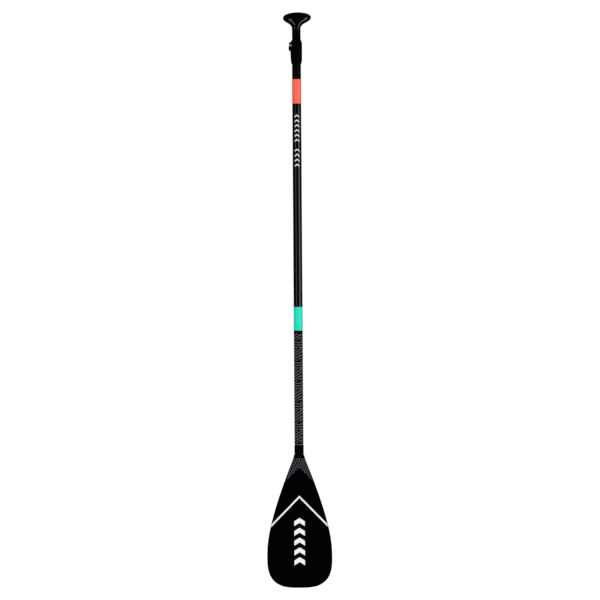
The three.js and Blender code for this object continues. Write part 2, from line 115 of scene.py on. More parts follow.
LEVER_LOW, LEVER_HIGH = extent("clamp_lever", 2)
TIP = levels("blade_edge_rail")[0].z

SHAFT_BORE = 12.3
HANDLE_BORE = 10.8
FERRULE_BORE = 10.5

# ---- shells, in millimetres ----------------------------------------------


def around(sides):
    """Even angles round a circle."""
    return np.linspace(0, 2 * math.pi, sides, endpoint=False)


def ring(radius, z, sides=SIDES):
    angles = around(sides)
    return np.column_stack(
        [radius * np.sin(angles), -radius * np.cos(angles), np.full(sides, z)])


def skin(rings, loop=False):
    """Quads through rings of one point count: closed on itself, or with a flat cap at each end."""
    count = len(rings[0])
    verts = np.vstack(rings)
    faces = []
    for i in range(len(rings) if loop else len(rings) - 1):
        low, high = i * count, ((i + 1) % len(rings)) * count
        for j in range(count):
            k = (j + 1) % count
            faces.append((low + j, low + k, high + k, high + j))
    if not loop:
        faces.append(tuple(range(count)))
        faces.append(tuple(range(len(verts) - count, len(verts))))
    return verts, faces


def rounded(points, radius, closed=True):
    """A polyline with its corners eased into short arcs."""
    points = [Vector(p) for p in points]
    eased = []
    for i, point in enumerate(points):
        if not closed and i in (0, len(points) - 1):
            eased.append(point)
            continue
        a, b = points[i - 1] - point, points[(i + 1) % len(points)] - point
        if a.angle(b) > math.radians(172):
            eased.append(point)
            continue
        reach = min(radius, 0.45 * a.length, 0.45 * b.length)
        start, end = point + a.normalized() * reach, point + b.normalized() * reach
        for k in range(ARC_STEPS + 1):
            t = k / ARC_STEPS
            eased.append(start * (1 - t) ** 2 + point * 2 * t * (1 - t) + end * t ** 2)
    return eased


def bezier(a, b, c, d, count):
    t = np.linspace(0, 1, count)[:, None]
    a, b, c, d = (np.array(p, float) for p in (a, b, c, d))
    return a * (1 - t) ** 3 + 3 * b * t * (1 - t) ** 2 + 3 * c * t ** 2 * (1 - t) + d * t ** 3


def signed_power(value, power):
    """A power with its sign kept. Below 1 it squares off a sine and cosine's circle."""
    return np.sign(value) * np.abs(value) ** power


def turned(profile, loop=False, sides=SIDES):
    """A profile of (radius, height) points turned about the Z axis."""
    return skin([ring(r, z, sides) for r, z in profile], loop)


def tube(outer, inner, low, high, edge=0.35, rows=1):
    """An open tube with eased rims and its outer wall divided into rows."""
    wall = [(outer, low + (high - low) * i / rows) for i in range(rows + 1)]
    return turned(rounded([(inner, low), *wall, (inner, high)], edge), loop=True)


def rod(radius, low, high, edge, sides=64):
    """A bar with eased ends."""
    return turned(rounded([(radius * 0.2, low), (radius, low), (radius, high),
                           (radius * 0.2, high)], edge, closed=False), sides=sides)


def drill(radius, low, high, sides=64):
    return turned([(radius, low), (radius, high)], sides=sides)


def across(shell, x, z):
    """A shell turned about Z, laid along Y at (x, z): its heights become Y."""
    verts, faces = shell
    return np.column_stack([verts[:, 0] + x, verts[:, 2], verts[:, 1] + z]), faces


def moved(shell, x, y):
    return shell[0] + np.array([x, y, 0]), shell[1]


def slab(outline, low, high, edge):
    """An outline in the XY plane raised between two levels, with eased edges."""
    points = np.array([tuple(p) for p in outline], float)
    ahead = np.roll(points, -1, 0)
    along = ahead - np.roll(points, 1, 0)
    along /= np.linalg.norm(along, axis=1)[:, None]
    inward = np.column_stack([-along[:, 1], along[:, 0]])
    if np.sum(points[:, 0] * ahead[:, 1] - ahead[:, 0] * points[:, 1]) < 0:
        inward = -inward
    rings = []
    for turn in np.linspace(0, math.pi / 2, 5):
        rings.append((edge * (1 - math.sin(turn)), low + edge * (1 - math.cos(turn))))
    rings += [(inset, low + high - z) for inset, z in reversed(rings)]
    return skin([np.column_stack([points + inward * inset, np.full(len(points), z)])
                 for inset, z in rings])


def brick(x, y, z):
    corners = [(i, j, k) for k in z for j in y for i in x]
    faces = [(0, 1, 3, 2), (4, 5, 7, 6), (0, 1, 5, 4), (2, 3, 7, 6), (0, 2, 6, 4), (1, 3, 7, 5)]
    return np.array(corners, float), faces


def closed_sheet(upper, lower, columns):
    """Two grids of points, row by row, as the faces of one sheet with a rim round it."""
    under = len(upper)
    faces = []
    for start in range(0, under - columns, columns):
        for a in range(start, start + columns - 1):
            quad = (a, a + 1, a + columns + 1, a + columns)
            faces += [quad, tuple(under + k for k in quad[::-1])]
    rim = [*range(columns), *range(2 * columns - 1, under, columns),
           *range(under - 2, under - columns - 1, -1), *range(under - 2 * columns, 0, -columns)]
    faces += [(a, b, under + b, under + a) for a, b in zip(rim, rim[1:] + rim[:1])]
    return np.vstack([upper, lower]), faces


def merged(*shells):
    """Several shells as one."""
    verts, faces, start = [], [], 0
    for points, polygons in shells:
        verts.append(points)
        faces += [tuple(start + i for i in polygon) for polygon in polygons]
        start += len(points)
    return np.vstack(verts), faces


# ---- objects -------------------------------------------------------------


def raw(shell):
    """A scratch object made of closed shells, in millimetres, with its faces turned outwards."""
    verts, faces = shell
    data = bpy.data.meshes.new("raw")
    data.from_pydata([tuple(v) for v in verts], [], faces)
    mesh = bmesh.new()
    mesh.from_mesh(data)
    bmesh.ops.remove_doubles(mesh, verts=mesh.verts, dist=1e-4)
    bmesh.ops.recalc_face_normals(mesh, faces=mesh.faces)
    if mesh.calc_volume(signed=True) < 0:
        bmesh.ops.reverse_faces(mesh, faces=mesh.faces)
    mesh.to_mesh(data)
    mesh.free()
    obj = bpy.data.objects.new("raw", data)
    bpy.context.scene.collection.objects.link(obj)
    return obj


def combine(body, operation, shells):
    for shell in shells:
        tool = raw(shell)
        boolean = body.modifiers.new("combine", "BOOLEAN")
        boolean.operation = operation
        boolean.solver = "MANIFOLD"
        boolean.object = tool
        graph = bpy.context.evaluated_depsgraph_get()
        made = bpy.data.meshes.new_from_object(body.evaluated_get(graph))
        body.modifiers.clear()
        body.data = made
        bpy.data.objects.remove(tool)
    return body


def cut(body, *shells):
    return combine(body, "DIFFERENCE", shells)


def fuse(body, *shells):
    return combine(body, "UNION", shells)


def piece(name, shape, body, material, stands_for=()):
    """A finished piece in metres, riding on a body of the frame."""
    obj = shape if isinstance(shape, bpy.types.Object) else raw(shape)
    obj.name = obj.data.name = name
    obj.data.transform(Matrix.Scale(MM, 4))
    obj.data.materials.clear()
    obj.data.materials.append(material)
    obj.data.shade_smooth()
    obj.data.set_sharp_from_angle(angle=SHARP_ANGLE)
    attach(obj, body)
    if stands_for:
        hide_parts(*stands_for)
    return obj


# ---- materials -----------------------------------------------------------


class Wiring:
    """Shader nodes written as expressions."""

    def __init__(self, tree):
        self.tree = tree

    def separate(self, vector):
        parts = self.node("ShaderNodeSeparateXYZ")
        self.feed(parts.inputs[0], vector)
        return parts.outputs

    def node(self, kind, **settings):
        made = self.tree.nodes.new(kind)
        for name, value in settings.items():
            setattr(made, name, value)
        return made

    def feed(self, socket, value):
        if isinstance(value, bpy.types.NodeSocket):
            self.tree.links.new(value, socket)
        elif isinstance(value, tuple) and len(value) == 3 and socket.type == "RGBA":
            socket.default_value = (*value, 1)
        else:
            socket.default_value = value

    def math(self, operation, *values):
        made = self.node("ShaderNodeMath", operation=operation)
        for socket, value in zip(made.inputs, values):
            self.feed(socket, value)
        return made.outputs[0]

    def total(self, *values):
        result = values[0]
        for value in values[1:]:
            result = self.math("ADD", result, value)
        return result

    def product(self, *values):
        result = values[0]
        for value in values[1:]:
            result = self.math("MULTIPLY", result, value)
        return result

    def opposite(self, value):
        return self.math("SUBTRACT", 1.0, value)

    def step(self, value, low, high):
        """0 below low and 1 above high, smooth between. With low above high it falls."""
        made = self.node("ShaderNodeMapRange", interpolation_type="SMOOTHSTEP")
        self.feed(made.inputs["Value"], value)
        falls = low > high
        self.feed(made.inputs["From Min"], min(low, high))
        self.feed(made.inputs["From Max"], max(low, high))
        self.feed(made.inputs["To Min"], 1.0 if falls else 0.0)
        self.feed(made.inputs["To Max"], 0.0 if falls else 1.0)
        return made.outputs["Result"]

    def spread(self, value, low, high):
        """A value from 0 to 1 spread evenly between low and high."""
        made = self.node("ShaderNodeMapRange")
        self.feed(made.inputs["Value"], value)
        self.feed(made.inputs["To Min"], low)
        self.feed(made.inputs["To Max"], high)
        return made.outputs["Result"]

    def mix(self, factor, a, b):
        made = self.node("ShaderNodeMix", data_type="RGBA")
        self.feed(made.inputs[0], factor)
        self.feed(made.inputs[6], a)
        self.feed(made.inputs[7], b)
        return made.outputs[2]

    def azimuth(self, x, y, scale=1.0):
        """The angle round Z from the front, positive to the right, times a scale."""
        return self.math("MULTIPLY", self.math("ARCTAN2", x, self.math("MULTIPLY", y, -1.0)), scale)


class Finish(Wiring):
    """A material's nodes. Lengths are millimetres in the row's frame."""

    def __init__(self, name, **sockets):
        self.material = bpy.data.materials.new(name)
        self.material.use_nodes = True
        super().__init__(self.material.node_tree)
        self.shader = self.tree.nodes["Principled BSDF"]
        self.set(**sockets)
        scale = self.node("ShaderNodeVectorMath", operation="SCALE")
        self.feed(scale.inputs[0], self.node("ShaderNodeTexCoord").outputs["Object"])
        scale.inputs["Scale"].default_value = 1 / MM
        self.place = scale.outputs[0]
        self.x, self.y, self.z = self.separate(self.place)

    def noise(self, size, stretch=(1, 1, 1), detail=3.0, rough=0.5):
        """Noise from 0 to 1 whose grains are about size millimetres, stretched along the axes."""
        mapping = self.node("ShaderNodeMapping")
        self.feed(mapping.inputs["Vector"], self.place)
        mapping.inputs["Scale"].default_value = [1 / (size * s) for s in stretch]
        made = self.node("ShaderNodeTexNoise")
        self.feed(made.inputs["Vector"], mapping.outputs[0])
        made.inputs["Scale"].default_value = 1
        made.inputs["Detail"].default_value = detail
        made.inputs["Roughness"].default_value = rough
        return made.outputs["Fac"]

    def stripes(self, value, pitch, share, soft=0.08):
        """1 on lines that cover a share of each pitch of value, and 0 between them."""
        wave = self.math("PINGPONG", self.math("DIVIDE", value, pitch), 0.5)
        return self.step(wave, share / 2 + soft / 2, share / 2 - soft / 2)

    def arc(self):
        """Distance round the shaft from its front, in millimetres."""
        return self.azimuth(self.x, self.y, SHAFT_R)

    def bump(self, *heights, distance):
        """Relief: the heights, from 0 to 1 each, are raised by distance millimetres."""
        made = self.node("ShaderNodeBump")
        made.inputs["Strength"].default_value = 1
        made.inputs["Distance"].default_value = distance * MM
        self.feed(made.inputs["Height"], self.total(*heights))
        self.feed(self.shader.inputs["Normal"], made.outputs[0])

    def set(self, **sockets):
        for socket, value in sockets.items():
            self.feed(self.shader.inputs[socket.replace("_", " ")], value)
        return self.material


def linear(red, green, blue):
    """A display colour from 0 to 255 as linear light."""
    return tuple(c / 12.92 if c <= 0.04045 else ((c + 0.055) / 1.055) ** 2.4
                 for c in (red / 255, green / 255, blue / 255))


POLISH_FADE = 4


def moulded(name, colour, low, high, grain=0.7, relief=0.02, specular=0.5, polished=None):
    """Moulded plastic: a fine spark-eroded grain, faint flow marks and light handling wear.

    Between the two levels of polished, if given, fingers have rubbed it to a gloss.
    """
    w = Finish(name, IOR=1.46, Coat_Roughness=0.13, Specular_IOR_Level=specular)
    cloud = w.noise(24, detail=4.0)
    scuff = w.step(w.noise(9, (0.25, 0.25, 2.2), detail=6.0, rough=0.62), 0.60, 0.74)
    lighter = tuple(c * 1.7 + 0.0004 for c in colour)
    w.set(Base_Color=w.mix(w.product(scuff, 0.5), w.mix(cloud, colour, lighter), lighter),
          Roughness=w.total(w.spread(cloud, low, high), w.product(scuff, 0.08)))
    if polished:
        start, end = polished
        w.set(Coat_Weight=w.product(w.step(w.z, start - POLISH_FADE, start + POLISH_FADE),
                                    w.step(w.z, end + POLISH_FADE, end - POLISH_FADE)))
    w.bump(w.noise(grain, detail=2.0), w.product(cloud, 0.6), distance=relief)
    return w.material


LACQUER_FADE = 130
WEAVE_PITCH = 5.2
WEAVE_SLOPE = 0.9


def laminate(name, specular, lacquered_below=None, print_mask=None, print_colour=None):
    """Wound black fibre, whose two crossing windings show faintly.

    Below a level, if one is given, it is lacquered. A mask, if given, prints a colour on it.
    """
    w = Finish(name, IOR=1.5, Coat_Roughness=0.09, Coat_IOR=1.9, Specular_IOR_Level=specular)
    if lacquered_below is not None:
        w.set(Coat_Weight=w.step(w.z, lacquered_below + LACQUER_FADE, lacquered_below))
    arc = w.arc()
    one = w.stripes(w.total(w.z, w.product(arc, WEAVE_SLOPE)), WEAVE_PITCH, 0.5, 0.5)
    two = w.stripes(w.total(w.z, w.product(arc, -WEAVE_SLOPE)), WEAVE_PITCH, 0.5, 0.5)
    weave = w.product(w.total(one, two), 0.5)
    colour = w.mix(weave, (0.0014, 0.0014, 0.0016), (0.0024, 0.0024, 0.0027))
    haze = w.noise(30, (1, 1, 3), detail=4.0)
    if print_mask:
        colour = w.mix(print_mask(w), colour, print_colour)
    w.set(Base_Color=colour, Roughness=w.spread(haze, 0.13, 0.20))
    w.bump(w.product(weave, 0.4), w.noise(3.0, (1, 1, 4)), distance=0.0015)
    return w.material


def coloured_wrap(name, colour):
    """Gloss vinyl: even colour, with a slight orange peel and faint darker clouds."""
    w = Finish(name, IOR=1.45, Specular_IOR_Level=0.9)
    cloud = w.noise(20, (1, 1, 2), detail=3.0)
    deep = tuple(c * 0.9 for c in colour)
    w.set(Base_Color=w.mix(cloud, deep, colour), Roughness=w.spread(cloud, 0.20, 0.28))
    w.bump(w.noise(1.4, detail=2.0), distance=0.006)
    return w.material


def metal(name, colour, low, high, grind=(1, 1, 8), metallic=1.0):
    """Steel with fine grinding marks along one direction."""
    w = Finish(name, Metallic=metallic)
    brushed = w.noise(0.5, grind, detail=3.0)
    w.set(Base_Color=w.mix(brushed, tuple(c * 0.8 for c in colour), colour),
          Roughness=w.spread(brushed, low, high))
    w.bump(brushed, distance=0.006)
    return w.material


def foam(name, colour):
    w = Finish(name, Roughness=0.9)
    cells = w.node("ShaderNodeTexVoronoi", feature="F1")
    w.feed(cells.inputs["Vector"], w.place)
    cells.inputs["Scale"].default_value = 0.9
    depth = cells.outputs["Distance"]
    w.set(Base_Color=w.mix(depth, colour, tuple(c * 0.55 for c in colour)))
    w.bump(depth, distance=0.3)
    return w.material


# The hatch on the lower shaft repeats down it: a field of rising lines, one of nearly level lines
# past a slanting border, and one of shallow curves. Small dark triangles mark where they meet.
HATCH_TOP = LOWER_HIGH - 9.7
HATCH_START = LOWER_HIGH - 53.8
HATCH_PERIOD = 64.1
BORDER_FALL = 1.4
BORDER_DROP = 33.8
CURVES_DROP = 40.9
LINE_SHARE = 0.32
RISING_SLOPE, RISING_PITCH = 0.63, 9.0
LEVEL_SLOPE, LEVEL_PITCH = 0.17, 8.6
CURVED_SLOPE, CURVED_PITCH = 0.2, 8.0
HATCH_TRIANGLES = ((-1.9, 0.0), (10.9, 18.5), (-5.1, 40.9))
TRIANGLE_HALF = 5.5
TRIANGLE_TALL = 6.0


def hatch(w):
    """1 on the hatch's grey lines, 0 on the black ground."""
    arc = w.arc()
    aside = w.math("ABSOLUTE", arc)
    down = w.math("WRAP", w.math("SUBTRACT", HATCH_START, w.z), HATCH_PERIOD, 0.0)
    rising = w.stripes(w.total(down, w.product(arc, RISING_SLOPE)), RISING_PITCH, LINE_SHARE)
    level = w.stripes(w.total(down, w.product(arc, LEVEL_SLOPE)), LEVEL_PITCH, LINE_SHARE)
    curved = w.stripes(w.total(down, w.product(aside, CURVED_SLOPE)), CURVED_PITCH, LINE_SHARE)
    past = w.step(w.total(down, w.product(arc, BORDER_FALL)), BORDER_DROP - 0.4, BORDER_DROP + 0.4)
    low = w.step(down, CURVES_DROP - 0.3, CURVES_DROP + 0.3)
    upper = w.total(w.product(level, past), w.product(rising, w.opposite(past)))
    lines = w.total(w.product(curved, low), w.product(upper, w.opposite(low)))
    for across_at, down_at in HATCH_TRIANGLES:
        side = w.math("ABSOLUTE", w.math("SUBTRACT", arc, across_at))
        under = w.math("SUBTRACT", down, down_at)
        slant = w.total(w.product(side, TRIANGLE_TALL / TRIANGLE_HALF), under)
        inside = w.product(w.step(slant, TRIANGLE_TALL + 0.3, TRIANGLE_TALL - 0.3),
                           w.step(under, -0.3, 0.3))
        lines = w.product(lines, w.opposite(inside))
    return w.product(lines, w.step(w.z, HATCH_TOP + 0.3, HATCH_TOP - 0.3))


# The lattice round the throat: long diamonds down to an inverted V.
LATTICE_TOP = -1234.6
LATTICE_APEX = -1263.8
LATTICE_FALL = 0.98
LATTICE_COLOUR = (0.085, 0.083, 0.112)
LATTICE_LINE = 0.19
CELL_WIDE = 8.0
CELL_TALL = 17.0


def lattice(w):
    """1 on the lattice's lines, 0 elsewhere on the blade."""
    across_cells = w.math("DIVIDE", w.x, CELL_WIDE)
    down_cells = w.math("DIVIDE", w.z, CELL_TALL)
    lines = w.math("MAXIMUM",
                   w.stripes(w.total(across_cells, down_cells), 1.0, LATTICE_LINE),
                   w.stripes(w.math("SUBTRACT", across_cells, down_cells), 1.0, LATTICE_LINE))
    edge = w.total(w.z, w.product(w.math("ABSOLUTE", w.x), LATTICE_FALL))
    above = w.step(edge, LATTICE_APEX - 0.4, LATTICE_APEX + 0.4)
    below = w.step(w.z, LATTICE_TOP + 0.4, LATTICE_TOP - 0.4)
    return w.product(lines, above, below)


def blade_finish(name, low, high):
    """Moulded blade plastic with fibre strands showing faintly, and the throat's lattice print."""
    w = Finish(name, IOR=1.47, Specular_IOR_Level=0.03)
    strands = w.noise(5, (0.35, 1, 3.5), detail=5.0, rough=0.6)
    cloud = w.noise(45, detail=4.0)
    ground = w.mix(strands, (0.0003, 0.0003, 0.0004), (0.0009, 0.0009, 0.0010))
    wear = w.step(w.noise(16, (0.3, 1, 2.4), detail=7.0, rough=0.64), 0.62, 0.78)
    ground = w.mix(w.product(wear, 0.4), ground, (0.0035, 0.0035, 0.0038))
    lines = lattice(w)
    w.set(Base_Color=w.mix(lines, ground, LATTICE_COLOUR),
          Roughness=w.total(w.spread(cloud, low, high), w.product(wear, 0.08)))
    w.bump(w.noise(0.9, detail=2.0), w.product(strands, 0.8), w.product(lines, 0.5), distance=0.03)
    return w.material


GRIP = moulded("grip_plastic", (0.0004, 0.0004, 0.0005), 0.22, 0.30, relief=0.01, specular=0.03,
               polished=(108, 144))
CLAMP = moulded("clamp_plastic", (0.0003, 0.0003, 0.0004), 0.28, 0.36, 0.9, 0.02, 0.045)
LEVER = moulded("lever_plastic", (0.0008, 0.0008, 0.0009), 0.26, 0.36, specular=0.3)
NECK = moulded("neck_plastic", (0.0003, 0.0003, 0.0004), 0.30, 0.40, specular=0.03)
GLOSS = laminate("gloss_laminate", 0.05, lacquered_below=-200)
HATCHED = laminate("hatched_laminate", 0.1, print_mask=hatch, print_colour=(0.108, 0.108, 0.111))
BLADE = blade_finish("blade_face_plastic", 0.32, 0.42)
RAIL = blade_finish("blade_rail_plastic", 0.30, 0.38)
CORAL_WRAP = coloured_wrap("coral_wrap", linear(255, 104, 80))
TEAL_WRAP = coloured_wrap("teal_wrap", linear(14, 227, 197))
BUTTON = moulded("button_plastic", linear(20, 214, 186), 0.22, 0.32)
WHITE_PRINT = coloured_wrap("white_print", (0.86, 0.86, 0.86))
ZINC = metal("zinc_plated_steel", (0.42, 0.42, 0.43), 0.3, 0.42, metallic=0.35)
BLACKENED = metal("blackened_steel", (0.03, 0.03, 0.032), 0.35, 0.5, metallic=0.35)
DULL_STEEL = metal("plain_steel", (0.46, 0.46, 0.47), 0.3, 0.45, (8, 8, 1))
SLEEVE = moulded("ferrule_plastic", (0.03, 0.03, 0.033), 0.36, 0.5, specular=0.3)
FOAM = foam("closed_cell_foam", linear(74, 77, 84))

# ---- handle section ------------------------------------------------------

NECK_R = 13.55
FLARE_START = 109.4
FLARE_FOOT = 20.8
FLARE_BRIM = 17
GRIP_HALF_WIDTH = 44.5
GRIP_HALF_DEPTH = 19
GRIP_WIDEST = 145.1
CROWN_RISE = 13.2
CROWN_SHARE = 0.3
CROWN_FLAT = 4
GROOVE_UP, GROOVE_DEPTH, GROOVE_HALF = 6.5, 0.45, 0.35
GRIP_TURN = math.radians(12)
GRIP_LEAN = 0.25
GRIP_SKEW = 0.11
BEND_LEVEL = 120
BEND_SOFT = 12


def grip_section(half_width, half_depth, z, power):
    """A squared oval, turned and leaning as the palm rest is."""
    angles = around(SIDES)
    x = half_width * signed_power(np.sin(angles), power)
    y = -half_depth * signed_power(np.cos(angles), power)
    over = math.hypot(max(0.0, z - BEND_LEVEL), BEND_SOFT) - BEND_SOFT
    y = y - GRIP_LEAN * over
    turned_x = x * math.cos(GRIP_TURN) - y * math.sin(GRIP_TURN) + GRIP_SKEW * over
    turned_y = x * math.sin(GRIP_TURN) + y * math.cos(GRIP_TURN)
    return np.column_stack([turned_x, turned_y, np.full(SIDES, z)])


def palm_grip():
    bore = HANDLE_R + GLUE_LINE
    rings = [grip_section(r, r, z, 1.0) for r, z in (
        (bore, HANDLE_HIGH + SEAM), (bore, NECK_END + 0.6), (bore + 0.6, NECK_END),
        (NECK_R - 0.8, NECK_END), (NECK_R - 0.25, NECK_END + 0.25), (NECK_R, NECK_END + 0.9))]
    flare = bezier((NECK_R, FLARE_START), (NECK_R, FLARE_START + FLARE_FOOT),
                   (GRIP_HALF_WIDTH, GRIP_WIDEST - FLARE_BRIM), (GRIP_HALF_WIDTH, GRIP_WIDEST), 44)
    for half_width, z in flare:
        grown = (half_width - NECK_R) / (GRIP_HALF_WIDTH - NECK_R)
        half_depth = NECK_R + (GRIP_HALF_DEPTH - NECK_R) * grown
        rings.append(grip_section(half_width, half_depth, z, 1 - 0.08 * grown))
    crown = bezier((GRIP_HALF_WIDTH, GRIP_WIDEST), (GRIP_HALF_WIDTH, GRIP_WIDEST + CROWN_RISE),
                   (GRIP_HALF_WIDTH * CROWN_SHARE, GRIP_TOP), (CROWN_FLAT, GRIP_TOP), 40)[1:]
    for half_width, z in crown:
        # a shallow parting groove runs round the palm rest where its cap is moulded on
        half_width -= GROOVE_DEPTH * math.exp(-((z - GRIP_WIDEST - GROOVE_UP) / GROOVE_HALF) ** 2)
        rings.append(grip_section(
            half_width, GRIP_HALF_DEPTH * half_width / GRIP_HALF_WIDTH, z, 0.92))
    return skin(rings)


piece("palm_grip_body", palm_grip(), "handle", GRIP, ["palm_grip"])
piece("telescoping_tube", tube(HANDLE_R, HANDLE_BORE, HANDLE_LOW, HANDLE_HIGH, rows=8),
      "handle", GLOSS, ["handle_tube"])

# ---- clamp ---------------------------------------------------------------

COLLAR_R = 17.9
LUG_FRONT = -10.5
LUG_BACK = 8.6
LUG_OUTLINE = [(-8, 75), (-13.6, 74.6), (-16.6, 70.6), (-21.6, 66.4), (-22.9, 63.6), (-22.7, 58),
               (-24.2, 52.6), (-24.4, 47.6), (-23.1, 43.4), (-18.8, 39.6), (-18.7, 30), (-17.9, 15),
               (-15.6, 3), (-8, 3)]


def collar_radius(z):
    """The turned body's radius: tapered below, nearly straight, then a rounded shoulder."""
    shoulder = bezier((COLLAR_R, COLLAR_TOP - 14), (17.4, COLLAR_TOP - 8.7),
                      (15.9, COLLAR_TOP - 4), (14, COLLAR_TOP), 12)
    foot = rounded([(14.6, 0), (15.2, 0), (COLLAR_R - 0.2, 10.9), (COLLAR_R, 40)], 2.5,
                   closed=False)
    points = [(p[0], p[1]) for p in foot] + [tuple(p) for p in shoulder]
    radii, heights = zip(*points)
    return np.interp(z, np.maximum.accumulate(heights), radii)


def outline_distance(outline, x, z):
    """Signed distance to a closed outline in the XZ plane, negative inside."""
    nearest = np.full(x.shape, 1e9)
    inside = np.zeros(x.shape, bool)
    for (ax, az), (bx, bz) in zip(outline, outline[1:] + outline[:1]):
        ex, ez = bx - ax, bz - az
        t = np.clip(((x - ax) * ex + (z - az) * ez) / (ex * ex + ez * ez), 0, 1)
        nearest = np.minimum(nearest, np.hypot(x - ax - t * ex, z - az - t * ez))
        crosses = (az > z) != (bz > z)
        if ez:
            inside ^= crosses & (x < ax + (z - az) / ez * ex)
    return np.where(inside, -nearest, nearest)


def bolt_way(radius, front, back):
    return across(drill(radius, front, back, sides=48), BOLT_X, BOLT_Z)


def clamp_collar():
    """A turned body with its lugs blended in, as a radius over angle and height. The bores, the
    slit and the bolt's way are then cut."""
    angles = np.radians(np.concatenate([np.arange(*span) for span in (
        (-132, 132, 3.0), (134, 168, 0.6), (168, 192, 2.0), (192, 228, 0.6))]))
    heights = np.concatenate([[0, 0.25, 0.8], np.arange(1.5, COLLAR_TOP - 1, 0.8),
                              [COLLAR_TOP - 0.9, COLLAR_TOP - 0.3, COLLAR_TOP]])
    reach = np.arange(13.0, 28.0, 0.12)
    angle, z, r = np.meshgrid(angles, heights, reach, indexing="ij")
    x, y = r * np.cos(angle), r * np.sin(angle)
    body = r - collar_radius(z)
    ease = 1.3
    lug = outline_distance(LUG_OUTLINE, x, z) + ease
    slab_half, slab_middle = (LUG_BACK - LUG_FRONT) / 2, (LUG_BACK + LUG_FRONT) / 2
    cheek = np.abs(y - slab_middle) - slab_half + ease
    lug = np.hypot(np.maximum(lug, 0), np.maximum(cheek, 0)) + np.minimum(np.maximum(lug, cheek), 0)
    lug -= ease
    blend = 1.4
    near = np.maximum(blend - np.abs(body - lug), 0) / blend
    field = np.minimum(body, lug) - near * near * blend / 4
    filled = field < 0
    last = reach.size - 1 - np.argmax(filled[:, :, ::-1], axis=2)
    i, j = np.indices(last.shape)
    low = field[i, j, last]
    high = field[i, j, np.minimum(last + 1, reach.size - 1)]
    radius = reach[last] + (reach[1] - reach[0]) * low / (low - high - 1e-9)
    radius[:, 0] -= 0.5
    radius[:, -1] -= 0.3
    rings = [np.column_stack([radius[:, k] * np.cos(angles), radius[:, k] * np.sin(angles),
                              np.full(angles.size, heights[k])]) for k in range(heights.size)]
    slit = 1.2
    return cut(
        raw(skin(rings)),
        turned([(SHAFT_R + 0.6, -1), (SHAFT_R + 0.6, 0.2), (SHAFT_R + GLUE_LINE, 0.7),
                (SHAFT_R + GLUE_LINE, MID_HIGH + SEAM)]),
        turned([(SHAFT_BORE + GLUE_LINE, 20), (SHAFT_BORE + GLUE_LINE, COLLAR_TOP - 0.7),
                (SHAFT_BORE + 0.6, COLLAR_TOP + 0.01), (SHAFT_BORE + 0.6, COLLAR_TOP + 1)]),
        brick((-30, -8), (-slit, slit), (MID_HIGH + 3, COLLAR_TOP + 1)),
        bolt_way(BOLT_R + CLEAR, -20, 20),
        # the lug's recess for the bolt's head and washer, with an eased rim
        across(turned([(5.5, -20), (5.5, LUG_FRONT - 0.05), (4.6, LUG_FRONT + 0.8), (4.6, -7)],
                      sides=64), BOLT_X, BOLT_Z))


def clamp_lever():
    """Cam ears on the pin, with the arm following the collar round the back to a finger end."""
    inner, outer = 18.4, 22.6
    start, end = math.radians(140), math.radians(50)
    low, high = LEVER_LOW + 3, LEVER_HIGH - 3
    sweep = np.linspace(start, end, 48)
    band = [(outer * math.cos(a), outer * math.sin(a)) for a in sweep]
    band += [(inner * math.cos(a), inner * math.sin(a)) for a in sweep[::-1]]
    middle = (inner + outer) / 2
    ease = 0.9
    finger_r = 2.55
    finger_x, finger_y = middle * math.cos(end), middle * math.sin(end) + 0.6
    ear_r = CAM_R - 0.03
    circle = [(math.cos(a), math.sin(a)) for a in around(64)]
    finger = [(finger_x + finger_r * c, finger_y + finger_r * s) for c, s in circle]
    ears = [(BOLT_X + ear_r * c, PIN_Y - CAM_LIFT + ear_r * s) for c, s in circle]
    # the finger end is a touch shorter than the band, so that no two faces lie on each other
    body = fuse(raw(slab(ears, LEVER_LOW, LEVER_HIGH, ease)),
                slab(band, low, high, ease), slab(finger, low + 0.01, high - 0.01, ease - 0.02))
    # three shallow thumb grooves across the back of the finger end
    grooves = [moved(rod(0.7, low - 1, high + 1, edge=0.1, sides=24),
                     (outer + 0.35) * math.cos(a), (outer + 0.35) * math.sin(a))
               for a in np.radians([60, 66, 72])]
    return cut(body,
               moved(drill(CAM_R + 1.2, BOLT_Z - 3.6, BOLT_Z + 3.6), BOLT_X, PIN_Y),
               moved(drill(PIN_R + 0.2, LEVER_LOW - 1, LEVER_HIGH + 1), BOLT_X, PIN_Y),
               *grooves)


def clamp_bolt():
    """A socket-head bolt: a domed head with a hexagon socket, and a rolled thread."""
    front, seat, end = BOLT_LOW.y, BOLT_LOW.y + 4.4, BOLT_HIGH.y
    pitch, thread_deep = 0.7, 0.25
    head = rounded([(BOLT_HEAD_R - 1.1, front), (BOLT_HEAD_R, front + 0.25), (BOLT_HEAD_R, seat),
                    (BOLT_R, seat), (BOLT_R, seat + 3)], 0.7, closed=False)
    sides = 64
    rings = [ring(r, y, sides) for r, y in head]
    for y in np.arange(seat + 3.2, end - 0.6, pitch / 5):
        turns = np.linspace(0, 1, sides, endpoint=False) + y / pitch
        radius = BOLT_R - thread_deep * np.abs(2 * (turns % 1) - 1)
        rings.append(ring(1, y, sides) * np.column_stack([radius, radius, np.ones(sides)]))
    rings += [ring(BOLT_R - 0.4, end - 0.4, sides), ring(BOLT_R - 0.8, end, sides)]
    body = raw(across(skin(rings), BOLT_X, BOLT_Z))
    return cut(body, across(drill(1.9, front - 1, front + 2.4, sides=6), BOLT_X, BOLT_Z))


def lever_pin():
    body = raw(moved(rod(PIN_R - 0.02, PIN_LOW.z, PIN_HIGH.z, edge=0.5), BOLT_X, PIN_Y))
    return cut(body, bolt_way(BOLT_R + 0.15, 0, 30))


